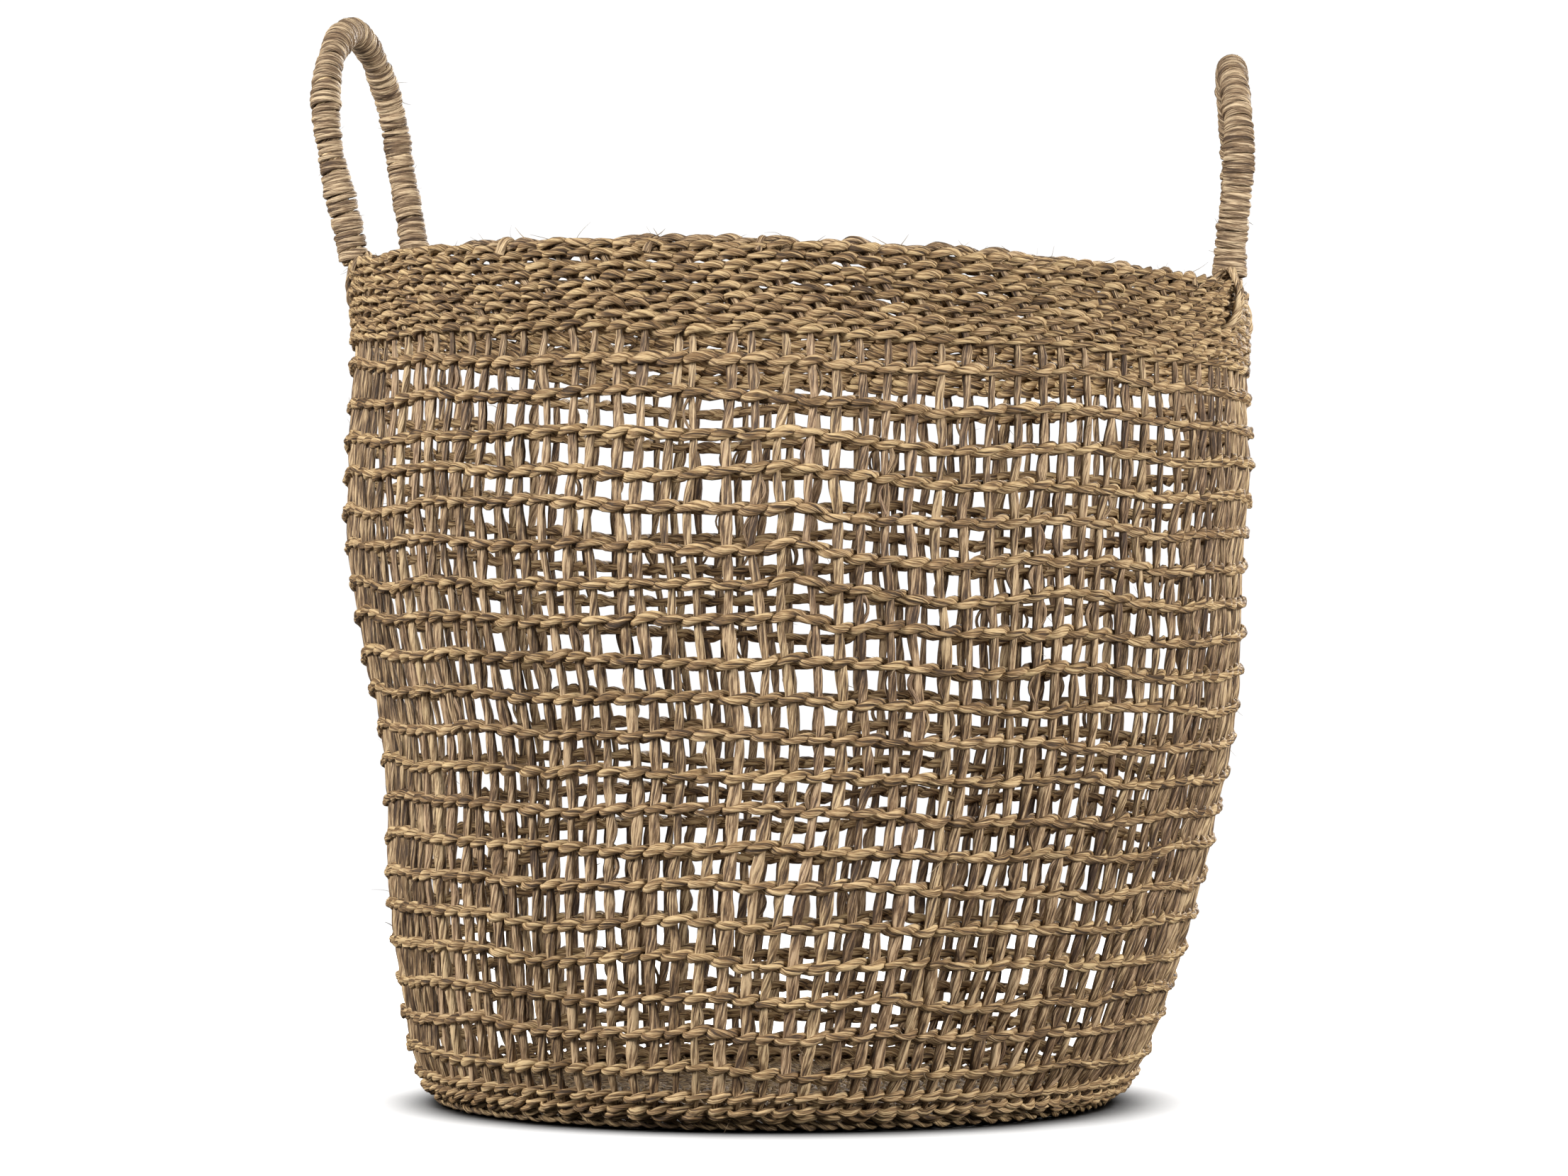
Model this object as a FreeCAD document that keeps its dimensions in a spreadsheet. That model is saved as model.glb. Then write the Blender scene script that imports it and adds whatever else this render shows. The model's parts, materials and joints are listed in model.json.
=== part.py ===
import FreeCAD, Part
import Sketcher
import math
import os
from FreeCAD import Placement, Rotation, Vector

# Seagrass storage basket: a round, open-weave basket with two wrapped loop handles.
# Row frame: millimetres, +Z up, origin on the floor under the centre of the base,
# handles on the -X (left) and +X (right) sides.
#
# The wall is a cage of upright stakes. Every weft row is a pair of cords, one laid
# outside the stakes and one inside them. The wall's line, followed by every stake, is
# a vertical line, then a long arc that draws the wall in, then a small corner arc.

DIMENSIONS = {
    # cords
    "stake_radius": 2.1,
    "strand_radius": 1.8,
    "band_strand_radius": 1.85,
    "edge_strand_radius": 2.4,
    "cord_gap": 0.6,
    "open_row_gap": 1.0,
    # the wall's line
    "rim_radius": 193.7,
    "stake_top_left": 364.4,
    "stake_top_front": 354.6,
    "stake_top_back": 354.6,
    "stake_top_right": 352.6,
    "straight_height": 300.0,
    "bend_radius": 1105.0,
    "corner_start_height": 13.0,
    "corner_radius": 12.0,
    "stake_foot_height": 5.0,
    "stake_count": 112,
    "stake_groups": 4,
    # base
    "base_radius": 143.0,
    "base_thickness": 5.0,
    "base_edge_round": 2.0,
    # weft rows, from the floor up: corner rows sit at angles below the horizontal
    "edge_row_outer_angle": 50.0,
    "edge_row_inner_angle": 78.0,
    "tight_row_lower_outer_angle": 33.0,
    "tight_row_lower_inner_angle": 42.0,
    "tight_row_upper_outer_angle": 8.0,
    "tight_row_upper_inner_angle": -4.0,
    "open_row_count": 20,
    "open_row_height": 26.0,
    "open_row_pitch": 15.18,
    "band_row_count": 9,
    "band_row_height": 326.6,
    "band_row_pitch": 4.2,
    # rim
    "rim_roll_radius": 2.4,
    "rim_roll_height": 363.4,
    # the basket was woven slightly higher on the left: rows tilt more the higher they sit
    "rim_tilt": 2.2,
    # handles: both sit slightly behind the basket's widest line, the left one on the
    # outer edge of the rim and the right one over its middle
    "handle_half_width": 42.5,
    "handle_back_angle": 5.3,
    "left_leg": 54.0,
    "right_leg": 43.0,
    "left_hinge_height": 383.4,
    "right_hinge_height": 369.2,
    "left_lean": 9.0,
    "right_lean": 1.0,
    "left_outset": 8.4,
    "right_outset": 0.0,
    "core_radius": 3.6,
    "wrap_inner_radius": 4.1,
    "wrap_outer_radius": 6.5,
    # cords that tie each handle foot to the band
    "lashing_radius": 1.5,
    "lashing_gap": 0.7,
    "lashing_bottom": 344.0,
    "lashing_bend_height": 360.0,
    "lashing_spacing": 3.6,
}

# Dimensions worked out by the sheet itself
DERIVED = {
    "lashing_half_width": "=stake_radius + cord_gap + 2 * band_strand_radius"
    " + lashing_gap + lashing_radius",
    "hinge_radius": "=sqrt(rim_radius ^ 2 - handle_half_width ^ 2)",
}

doc = FreeCAD.newDocument("seagrass_basket")
sheet = doc.addObject("Spreadsheet::Sheet", "dims")
for line, (alias, content) in enumerate({**DIMENSIONS, **DERIVED}.items(), start=1):
    sheet.set(f"A{line}", alias)
    sheet.set(f"B{line}", str(content))
    sheet.setAlias(f"B{line}", alias)
doc.recompute()

# Expressions for derived places. All of them are plain numbers of millimetres.
ROW_OFFSET = "(dims.stake_radius + dims.cord_gap + dims.strand_radius)"
OPEN_ROW_OFFSET = "(dims.stake_radius + dims.open_row_gap + dims.strand_radius)"
EDGE_OFFSET = "(dims.stake_radius + dims.cord_gap + dims.edge_strand_radius)"
BAND_OFFSET = "(dims.stake_radius + dims.cord_gap + dims.band_strand_radius)"
CORNER_SINE = "((dims.straight_height - dims.corner_start_height) / dims.bend_radius)"
CORNER_REACH = "(dims.bend_radius - dims.corner_radius)"
CORNER_CENTRE_RADIUS = (
    f"(dims.rim_radius - dims.bend_radius + {CORNER_REACH} * sqrt(1 - {CORNER_SINE} ^ 2))"
)
CORNER_CENTRE_HEIGHT = f"(dims.straight_height - {CORNER_REACH} * {CORNER_SINE})"


def size(alias):
    """The number in the sheet's cell with this alias."""
    return float(sheet.get(alias))


def millimetres(expression):
    """The expression as a length, for a property that wants a unit."""
    return f"({expression}) * 1 mm"


def wall_radius(height):
    """Expression for the radius of the wall's line at a height on its upper stretch."""
    drop = f"max(0; dims.straight_height - ({height}))"
    return f"(dims.rim_radius - dims.bend_radius + sqrt(dims.bend_radius ^ 2 - {drop} ^ 2))"


def corner_place(offset, angle):
    """Expressions for radius and height of a cord beside the corner arc."""
    reach = f"(dims.corner_radius + {offset})"
    radius = f"{CORNER_CENTRE_RADIUS} + {reach} * cos({angle})"
    height = f"{CORNER_CENTRE_HEIGHT} - {reach} * sin({angle})"
    return radius, height


def new_body(name):
    """A body whose label names its file. It may hold several separate solids."""
    body = doc.addObject("PartDesign::Body", name)
    body.Label = name
    body.AllowCompound = True
    return body


def origin_feature(body, role):
    """The body's own origin plane or axis with this role."""
    return next(part for part in body.Origin.OriginFeatures if part.Role == role)


def new_sketch(body, name, role, lift=None):
    """A sketch on one of the body's origin planes, raised by an expression if given."""
    sketch = body.newObject("Sketcher::SketchObject", name)
    sketch.AttachmentSupport = [(origin_feature(body, role), "")]
    sketch.MapMode = "FlatFace"
    if lift:
        sketch.setExpression("AttachmentOffset.Base.z", millimetres(lift))
    return sketch


def drive(sketch, kind, name, places, expression, start):
    """A named dimension on the sketch, bound to an expression."""
    index = sketch.addConstraint(Sketcher.Constraint(kind, *places, start))
    sketch.renameConstraint(index, name)
    sketch.setExpression(f"Constraints.{name}", millimetres(expression))


def add_circle(sketch, name, radius, across, up, start=10.0):
    """A circle placed from the sketch's origin by two expressions. up may be None: on the axis."""
    centre = Vector(start, 0 if up is None else start, 0)
    circle = sketch.addGeometry(Part.Circle(centre, Vector(0, 0, 1), 1.0))
    drive(sketch, "Radius", f"{name}_radius", (circle,), radius, 1.0)
    drive(sketch, "DistanceX", f"{name}_across", (-1, 1, circle, 3), across, start)
    if up is None:
        sketch.addConstraint(Sketcher.Constraint("PointOnObject", circle, 3, -1))
    else:
        drive(sketch, "DistanceY", f"{name}_up", (-1, 1, circle, 3), up, start)


def sweep(body, name, profile, path):
    """The profile carried along every edge of the path."""
    pipe = body.newObject("PartDesign::AdditivePipe", name)
    pipe.Profile = profile
    pipe.Spine = (path, [])
    profile.Visibility = False
    path.Visibility = False
    return pipe


def polar_copies(body, name, feature, count, angle):
    """Equal copies of a feature about Z, spread over an angle from first to last."""
    pattern = body.newObject("PartDesign::PolarPattern", name)
    pattern.Originals = [feature]
    pattern.Axis = (origin_feature(body, "Z_Axis"), [""])
    pattern.setExpression("Occurrences", count)
    pattern.setExpression("Angle", f"({angle}) * 1 deg")
    body.Tip = pattern
    return pattern


def tilt_at(height):
    """Tilt of the weave about Y at a height, in degrees: none at the floor, most at the rim."""
    return size("rim_tilt") * height / size("rim_roll_height")


def settle(body, height, turn=0.0):
    """Turns the body about Z, then tilts it with the weave at its height on the axis."""
    turned = Placement(Vector(), Rotation(Vector(0, 0, 1), turn))
    tilt = Rotation(Vector(0, 1, 0), tilt_at(height))
    body.Placement = Placement(Vector(), tilt, Vector(0, 0, height)) * turned


def make_base():
    """Woven base mat: a thin disc, flat underneath, rounded along its upper edge."""
    body = new_body("base_mat")
    outline = new_sketch(body, "base_outline", "XY_Plane")
    circle = outline.addGeometry(Part.Circle(Vector(), Vector(0, 0, 1), 100.0))
    outline.addConstraint(Sketcher.Constraint("Coincident", circle, 3, -1, 1))
    drive(outline, "Radius", "base_radius", (circle,), "dims.base_radius", 100.0)
    pad = body.newObject("PartDesign::Pad", "base_pad")
    pad.Profile = outline
    pad.setExpression("Length", millimetres("dims.base_thickness"))
    doc.recompute()
    top_edge = max(
        range(len(pad.Shape.Edges)), key=lambda index: pad.Shape.Edges[index].BoundBox.ZMin
    )
    rounding = body.newObject("PartDesign::Fillet", "base_rounding")
    rounding.Base = (pad, [f"Edge{top_edge + 1}"])
    rounding.setExpression("Radius", millimetres("dims.base_edge_round"))
    return body


def make_rings(name, circles):
    """A row of the weave: one closed ring of cord for each (label, radius, across, up)."""
    body = new_body(name)
    section = new_sketch(body, f"{name}_section", "XZ_Plane")
    for label, radius, across, up in circles:
        add_circle(section, label, radius, across, up)
    ring = body.newObject("PartDesign::Revolution", f"{name}_rings")
    ring.Profile = section
    ring.ReferenceAxis = (section, ["V_Axis"])
    ring.Angle = 360.0
    return body


def make_edge_row():
    """Heavy row that turns the wall into the base, with a thinner cord inside it."""
    outer = corner_place(EDGE_OFFSET, "dims.edge_row_outer_angle")
    inner = corner_place(f"(0 - {ROW_OFFSET})", "dims.edge_row_inner_angle")
    return make_rings(
        "base_edge_row",
        [
            ("outer", "dims.edge_strand_radius", *outer),
            ("inner", "dims.strand_radius", *inner),
        ],
    )


def make_tight_row(place):
    """One of the two close rows round the bottom corner; place is lower or upper."""
    outer = corner_place(ROW_OFFSET, f"dims.tight_row_{place}_outer_angle")
    inner = corner_place(f"(0 - {ROW_OFFSET})", f"dims.tight_row_{place}_inner_angle")
    return make_rings(
        f"tight_row_{place}",
        [("outer", "dims.strand_radius", *outer), ("inner", "dims.strand_radius", *inner)],
    )


def make_wall_row(name, height, offset, radius):
    """A row on the wall: the outer and the inner cord at one height."""
    wall = wall_radius(height)
    return make_rings(
        name,
        [
            ("outer", radius, f"{wall} + {offset}", height),
            ("inner", radius, f"{wall} - {offset}", height),
        ],
    )


def make_open_row(index):
    """One of the widely spaced rows of the open mesh, counted from the bottom."""
    height = f"dims.open_row_height + {index} * dims.open_row_pitch"
    name = f"weft_row_{index + 1:02d}"
    body = make_wall_row(name, height, OPEN_ROW_OFFSET, "dims.strand_radius")
    settle(body, size("open_row_height") + index * size("open_row_pitch"))
    return body


def make_band_row(index):
    """One of the touching rows of the dense band under the rim, counted from its lower edge."""
    height = f"dims.band_row_height + {index} * dims.band_row_pitch"
    name = f"band_row_{index + 1:02d}"
    body = make_wall_row(name, height, BAND_OFFSET, "dims.band_strand_radius")
    settle(body, size("band_row_height") + index * size("band_row_pitch"))
    return body


def make_rim():
    """Rim roll: the stake ends turned over and laid round the top of the band."""
    roll = ("roll", "dims.rim_roll_radius", "dims.rim_radius", "dims.rim_roll_height")
    body = make_rings("rim_roll", [roll])
    settle(body, size("rim_roll_height"))
    return body


def draw_wall_line(sketch, top_name):
    """The wall's line from a stake's top end down to its foot at the base."""
    rim, straight, bend = size("rim_radius"), size("straight_height"), size("bend_radius")
    corner = size("corner_radius")
    lower_angle = math.asin((straight - size("corner_start_height")) / bend)
    bend_centre = Vector(rim - bend, straight, 0)
    toward_corner = Vector(math.cos(lower_angle), -math.sin(lower_angle), 0)
    corner_centre = bend_centre + toward_corner * (bend - corner)
    foot_angle = math.asin((corner_centre.y - size("stake_foot_height")) / corner)
    top = sketch.addGeometry(
        Part.LineSegment(Vector(rim, size(top_name), 0), Vector(rim, straight, 0))
    )
    wall = sketch.addGeometry(
        Part.ArcOfCircle(Part.Circle(bend_centre, Vector(0, 0, 1), bend), -lower_angle, 0)
    )
    foot = sketch.addGeometry(
        Part.ArcOfCircle(
            Part.Circle(corner_centre, Vector(0, 0, 1), corner), -foot_angle, -lower_angle
        )
    )
    sketch.addConstraint(Sketcher.Constraint("Vertical", top))
    drive(sketch, "DistanceX", "rim", (-1, 1, top, 1), "dims.rim_radius", rim)
    drive(sketch, "DistanceY", "top", (-1, 1, top, 1), f"dims.{top_name}", size(top_name))
    drive(sketch, "DistanceY", "straight", (-1, 1, top, 2), "dims.straight_height", straight)
    sketch.addConstraint(Sketcher.Constraint("Tangent", top, 2, wall, 2))
    drive(sketch, "Radius", "bend", (wall,), "dims.bend_radius", bend)
    drive(
        sketch, "DistanceY", "corner_start", (-1, 1, wall, 1),
        "dims.corner_start_height", size("corner_start_height"),
    )
    sketch.addConstraint(Sketcher.Constraint("Tangent", wall, 1, foot, 2))
    drive(sketch, "Radius", "corner", (foot,), "dims.corner_radius", corner)
    drive(
        sketch, "DistanceY", "foot", (-1, 1, foot, 1),
        "dims.stake_foot_height", size("stake_foot_height"),
    )


def make_stakes(side, turn):
    """A quarter of the upright stakes, centred on one side of the basket."""
    name = f"stakes_{side}"
    top_name = f"stake_top_{side}"
    body = new_body(name)
    path = new_sketch(body, f"{name}_path", "XZ_Plane")
    draw_wall_line(path, top_name)
    section = new_sketch(body, f"{name}_section", "XY_Plane", lift=f"dims.{top_name}")
    add_circle(section, "stake", "dims.stake_radius", "dims.rim_radius", None)
    stake = sweep(body, f"{name}_stake", section, path)
    step = "(360 / dims.stake_count)"
    count = "dims.stake_count / dims.stake_groups"
    polar_copies(body, f"{name}_copies", stake, count, f"{step} * ({count} - 1)")
    step_angle = 360 / size("stake_count")
    in_group = size("stake_count") / size("stake_groups")
    first_turn = turn - step_angle * (in_group - 1) / 2
    body.Placement = Placement(Vector(), Rotation(Vector(0, 0, 1), first_turn))
    return body


def make_lashing(name, turn):
    """Pair of cords bent over the rim, which tie one handle foot to the band."""
    body = new_body(name)
    path = new_sketch(body, f"{name}_path", "XZ_Plane")
    rim, half = size("rim_radius"), size("lashing_half_width")
    low, bend = size("lashing_bottom"), size("lashing_bend_height")
    outer = path.addGeometry(
        Part.LineSegment(Vector(rim + half, low, 0), Vector(rim + half, bend, 0))
    )
    crown = path.addGeometry(
        Part.ArcOfCircle(Part.Circle(Vector(rim, bend, 0), Vector(0, 0, 1), half), 0, math.pi)
    )
    inner = path.addGeometry(
        Part.LineSegment(Vector(rim - half, bend, 0), Vector(rim - half, low, 0))
    )
    path.addConstraint(Sketcher.Constraint("Vertical", outer))
    path.addConstraint(Sketcher.Constraint("Vertical", inner))
    path.addConstraint(Sketcher.Constraint("Tangent", outer, 2, crown, 1))
    path.addConstraint(Sketcher.Constraint("Tangent", crown, 2, inner, 1))
    path.addConstraint(Sketcher.Constraint("Horizontal", outer, 1, inner, 2))
    drive(path, "DistanceX", "centre_across", (-1, 1, crown, 3), "dims.rim_radius", rim)
    drive(path, "DistanceY", "centre_up", (-1, 1, crown, 3), "dims.lashing_bend_height", bend)
    drive(path, "Radius", "half_width", (crown,), "dims.lashing_half_width", half)
    drive(path, "DistanceY", "bottom", (-1, 1, outer, 1), "dims.lashing_bottom", low)
    section = new_sketch(body, f"{name}_section", "XY_Plane", lift="dims.lashing_bottom")
    across = "dims.rim_radius + dims.lashing_half_width"
    add_circle(section, "cord", "dims.lashing_radius", across, None)
    cord = sweep(body, f"{name}_cord", section, path)
    spread = math.degrees(size("lashing_spacing") / rim)
    apart = "dims.lashing_spacing / dims.rim_radius * 180 / pi"
    polar_copies(body, f"{name}_pair", cord, "2", apart)
    settle(body, size("rim_roll_height"), turn - spread / 2)
    return body


def draw_handle_line(sketch, leg_name):
    """The loop's centre line: up one leg, over a half circle, down the other leg."""
    half, leg = size("handle_half_width"), size(leg_name)
    near = sketch.addGeometry(Part.LineSegment(Vector(half, 0, 0), Vector(half, leg, 0)))
    crown = sketch.addGeometry(
        Part.ArcOfCircle(Part.Circle(Vector(0, leg, 0), Vector(0, 0, 1), half), 0, math.pi)
    )
    far = sketch.addGeometry(Part.LineSegment(Vector(-half, leg, 0), Vector(-half, 0, 0)))
    sketch.addConstraint(Sketcher.Constraint("Vertical", near))
    sketch.addConstraint(Sketcher.Constraint("Vertical", far))
    sketch.addConstraint(Sketcher.Constraint("Tangent", near, 2, crown, 1))
    sketch.addConstraint(Sketcher.Constraint("Tangent", crown, 2, far, 1))
    sketch.addConstraint(Sketcher.Constraint("PointOnObject", near, 1, -1))
    sketch.addConstraint(Sketcher.Constraint("PointOnObject", far, 2, -1))
    sketch.addConstraint(Sketcher.Constraint("PointOnObject", crown, 3, -2))
    drive(sketch, "Radius", "half_width", (crown,), "dims.handle_half_width", half)
    drive(sketch, "DistanceY", "leg", (-1, 1, near, 2), f"dims.{leg_name}", leg)


def place_handle(body, prefix, side):
    """Stands a handle on its hinge line and leans it outward. side is -1 for the left."""
    lean = Rotation(Vector(0, side, 0), size(f"{prefix}_lean"))
    turn = Rotation(Vector(0, 0, side), size("handle_back_angle"))
    body.Placement = Placement(Vector(), turn * lean)
    reach = f"(dims.hinge_radius + dims.{prefix}_outset)"
    across = f"{side} * {reach} * cos(dims.handle_back_angle)"
    back = f"{reach} * sin(dims.handle_back_angle)"
    body.setExpression("Placement.Base.x", millimetres(across))
    body.setExpression("Placement.Base.y", millimetres(back))
    body.setExpression("Placement.Base.z", millimetres(f"dims.{prefix}_hinge_height"))


def make_handle_piece(piece, prefix, side, radii):
    """A cord (one radius) or a sleeve (two radii) along the handle's centre line."""
    name = f"handle_{prefix}_{piece}"
    body = new_body(name)
    path = new_sketch(body, f"{name}_path", "YZ_Plane")
    draw_handle_line(path, f"{prefix}_leg")
    section = new_sketch(body, f"{name}_section", "XY_Plane")
    for radius in radii:
        circle = section.addGeometry(Part.Circle(Vector(0, 10, 0), Vector(0, 0, 1), 1.0))
        drive(section, "Radius", radius, (circle,), f"dims.{radius}", 1.0)
        section.addConstraint(Sketcher.Constraint("PointOnObject", circle, 3, -2))
        drive(
            section, "DistanceY", f"{radius}_place", (-1, 1, circle, 3),
            "dims.handle_half_width", 10.0,
        )
    sweep(body, f"{name}_sweep", section, path)
    place_handle(body, prefix, side)
    return body


def make_handle(prefix, side):
    """Core rope, wrapped sleeve, and the lashings of its two feet."""
    foot_angle = math.degrees(math.asin(size("handle_half_width") / size("rim_radius")))
    middle = (0 if side > 0 else 180) + side * size("handle_back_angle")
    return [
        make_handle_piece("core", prefix, side, ["core_radius"]),
        make_handle_piece("wrap", prefix, side, ["wrap_outer_radius", "wrap_inner_radius"]),
        make_lashing(f"handle_{prefix}_lashing_front", middle - side * foot_angle),
        make_lashing(f"handle_{prefix}_lashing_back", middle + side * foot_angle),
    ]


def check(bodies):
    """Stops if any object failed to build, or if a body's shape is missing or unsound."""
    for item in doc.Objects:
        if "Invalid" in item.State or "Error" in item.State:
            raise RuntimeError(f"{item.Label} failed: {item.State}")
    for body in bodies:
        if body.Shape.isNull() or not body.Shape.isValid() or not body.Shape.Solids:
            raise RuntimeError(f"{body.Label} has no sound shape")


def main():
    """Builds every piece, checks it and writes one file for each."""
    bodies = [make_base(), make_edge_row()]
    bodies += [make_tight_row(place) for place in ("lower", "upper")]
    bodies += [make_open_row(index) for index in range(int(size("open_row_count")))]
    bodies += [make_band_row(index) for index in range(int(size("band_row_count")))]
    bodies.append(make_rim())
    for turn, side in enumerate(("right", "back", "left", "front")):
        bodies.append(make_stakes(side, 90 * turn))
    bodies += make_handle("left", -1)
    bodies += make_handle("right", 1)
    doc.recompute()
    check(bodies)
    os.makedirs("parts", exist_ok=True)
    for body in bodies:
        body.Shape.exportStep(os.path.join("parts", f"{body.Label}.step"))
    print(f"{len(bodies)} pieces written")


main()
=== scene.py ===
import json
import math

import bpy
import numpy as np
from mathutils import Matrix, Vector


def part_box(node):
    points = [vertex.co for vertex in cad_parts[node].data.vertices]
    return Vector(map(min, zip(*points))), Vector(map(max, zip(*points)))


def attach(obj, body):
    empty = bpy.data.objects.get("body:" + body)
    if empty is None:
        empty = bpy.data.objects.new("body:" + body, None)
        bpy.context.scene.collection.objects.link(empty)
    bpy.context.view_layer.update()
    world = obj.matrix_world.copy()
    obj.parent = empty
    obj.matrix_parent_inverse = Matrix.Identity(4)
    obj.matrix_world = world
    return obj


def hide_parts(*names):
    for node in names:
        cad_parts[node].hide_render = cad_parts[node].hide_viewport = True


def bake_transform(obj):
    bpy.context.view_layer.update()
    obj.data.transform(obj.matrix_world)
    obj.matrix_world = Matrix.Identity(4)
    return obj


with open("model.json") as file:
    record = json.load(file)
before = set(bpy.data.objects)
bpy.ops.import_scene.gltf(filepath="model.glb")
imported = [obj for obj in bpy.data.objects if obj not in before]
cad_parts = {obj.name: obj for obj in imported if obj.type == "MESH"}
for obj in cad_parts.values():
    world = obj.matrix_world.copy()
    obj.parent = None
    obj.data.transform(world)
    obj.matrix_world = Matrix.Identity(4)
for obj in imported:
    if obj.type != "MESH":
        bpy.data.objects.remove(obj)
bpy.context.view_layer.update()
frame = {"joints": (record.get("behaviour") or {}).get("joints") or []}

# Seagrass storage basket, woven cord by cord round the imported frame. Metres throughout.
# The weave is laid out on an ideal round wall and then warped by slump(), which gives the
# basket its lean, its waist and its tilted rim.

RNG = np.random.default_rng(41)
MM = 0.001

STAKES = 112
STAKE_STEP = 2 * math.pi / STAKES
CORD_STEP = 2.2 * MM      # length of one ring of faces along a stake or a row
FULL_TURN = 6.28          # for random phases
OPEN_ROWS = 20
BAND_ROWS = 9
OPEN_REACH = 6.7 * MM     # from the wall's line to the outside of an open row
BAND_REACH = 6.4 * MM     # the same for a row of the band
USUAL_RADIUS = 0.19       # turns a length along the wall into an angle
CORNER_RADIUS = 12 * MM
CORNER_START = 13 * MM    # height where the wall turns into the bottom corner
CORNER_FIRST, CORNER_LAST = math.radians(15), math.radians(74)
RIM_TILT = math.radians(2.2)
FRONT = math.radians(-80)  # azimuth of the wall nearest the camera
# How far the woven wall stands outside its CAD line, by height
FULL_HEIGHTS = np.array([0, 10, 25, 60, 100, 280, 330, 360]) * MM
FULLNESS = np.array([-2.5, -1.0, 2.0, 2.4, 3.0, 3.4, 1.2, 1.0]) * MM
# Sideways push of the whole basket, by height; minus is to the left
SLIDE_HEIGHTS = np.array([0, 95, 135, 300, 340, 360]) * MM
SLIDE = np.array([-2.0, -2.5, -1.2, -1.0, -1.0, -1.5]) * MM


# ---------------------------------------------------------------- wall from the frame

def row_place(node):
    """Height on the axis and outer radius of a row's CAD node."""
    low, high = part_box(node)
    return (low.z + high.z) / 2, high.y


OPEN_PLACES = [row_place(f"weft_row_{i + 1:02d}") for i in range(OPEN_ROWS)]
BAND_PLACES = [row_place(f"band_row_{i + 1:02d}") for i in range(BAND_ROWS)]
RIM_HEIGHT = row_place("rim_roll")[0]
WALL_HEIGHTS = np.array([z for z, _ in OPEN_PLACES + BAND_PLACES])
WALL_RADII = np.array(
    [r - OPEN_REACH for _, r in OPEN_PLACES] + [r - BAND_REACH for _, r in BAND_PLACES]
)
FIRST_SLOPE = (WALL_RADII[1] - WALL_RADII[0]) / (WALL_HEIGHTS[1] - WALL_HEIGHTS[0])
CORNER_TOP_RADIUS = WALL_RADII[0] - FIRST_SLOPE * (WALL_HEIGHTS[0] - CORNER_START)
CORNER_CENTRE = (
    CORNER_TOP_RADIUS - CORNER_RADIUS * math.cos(CORNER_FIRST),
    CORNER_START + CORNER_RADIUS * math.sin(CORNER_FIRST),
)


def wall_line(place):
    """Radius, height and outward normal of the wall at a place: the height, down to the corner."""
    place = np.asarray(place, float)
    upper = np.maximum(place, CORNER_START)
    heights = np.concatenate([[CORNER_START], WALL_HEIGHTS])
    radii = np.concatenate([[CORNER_TOP_RADIUS], WALL_RADII])
    radius = np.interp(upper, heights, radii)
    above = np.interp(upper + MM, heights, radii)
    under = np.interp(upper - MM, heights, radii)
    slope = (above - under) / (2 * MM)
    slope = np.where(upper < CORNER_START + MM, FIRST_SLOPE, slope)
    angle = CORNER_FIRST + (CORNER_START - place) / CORNER_START * (CORNER_LAST - CORNER_FIRST)
    corner = place < CORNER_START
    length = np.sqrt(1 + slope ** 2)
    out_r = np.where(corner, np.cos(angle), 1 / length)
    out_z = np.where(corner, -np.sin(angle), -slope / length)
    radius = np.where(corner, CORNER_CENTRE[0] + CORNER_RADIUS * np.cos(angle), radius)
    height = np.where(corner, CORNER_CENTRE[1] - CORNER_RADIUS * np.sin(angle), place)
    return radius, height, out_r, out_z


def fullness(place):
    """How much fuller the woven wall stands than the CAD line, so that their outsides agree."""
    return np.interp(place, FULL_HEIGHTS, FULLNESS)


def on_wall(theta, place, out):
    """Points and outward normals at azimuth theta, stood off the wall's line by out."""
    radius, height, out_r, out_z = wall_line(place)
    out = out + fullness(place)
    r = radius + out * out_r
    points = np.stack([r * np.cos(theta), r * np.sin(theta), height + out * out_z], 1)
    normals = np.stack([out_r * np.cos(theta), out_r * np.sin(theta), out_z + 0 * theta], 1)
    return points, normals


def bump_at(value, centre, spread):
    """A smooth bump of height 1."""
    return np.exp(-((value - centre) / spread) ** 2)


def turned(theta, start):
    """Angle from start to theta, between minus and plus half a turn."""
    return np.angle(np.exp(1j * (theta - start)))


def slump(points):
    """Warps the ideal round basket into the leaning, slightly waisted, tilted one."""
    x, y, z = points.T
    theta = np.arctan2(y, x)
    radius = np.hypot(x, y)
    # in and out: a waist, a slightly three-cornered plan and a bulge in front
    near_wall = np.clip(radius / 0.15, 0, 1) ** 4
    waist = -3.0 * MM * bump_at(z, 0.145, 0.045)
    corners = 1.3 * MM * np.cos(3 * theta + 0.6) * np.clip(z / 0.2, 0, 1)
    bulge = 4.0 * MM * bump_at(turned(theta, FRONT), 0.02, 0.16) * bump_at(z, 0.235, 0.05)
    swell = (waist + corners + bulge) * near_wall
    # sideways: the base sits to the left of the rim, and the sides sway
    base_shift = -10.5 * MM * np.clip(1 - z / 0.115, 0, 1) ** 1.2
    shift = base_shift + 2.8 * MM * bump_at(z, 0.160, 0.032) - 2.0 * MM * bump_at(z, 0.250, 0.03)
    shift = shift + np.interp(z, SLIDE_HEIGHTS, SLIDE)
    # up and down: the rim falls to the right, dips at the front left and rises in front
    tilt = RIM_TILT * np.clip(z / RIM_HEIGHT, 0, 1.1)
    top = np.clip(z / RIM_HEIGHT, 0, 1.1) ** 3
    dip = 2.0 * MM * top * bump_at(turned(theta, -2.40), 0, 0.45)
    rise = 1.3 * MM * top * bump_at(turned(theta, -1.20), 0, 0.35)
    lift = -np.tan(tilt) * x - dip + rise
    return np.stack(
        [x + shift + swell * np.cos(theta), y + swell * np.sin(theta), z + lift], 1
    )


# ---------------------------------------------------------------- smooth random curves

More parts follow.
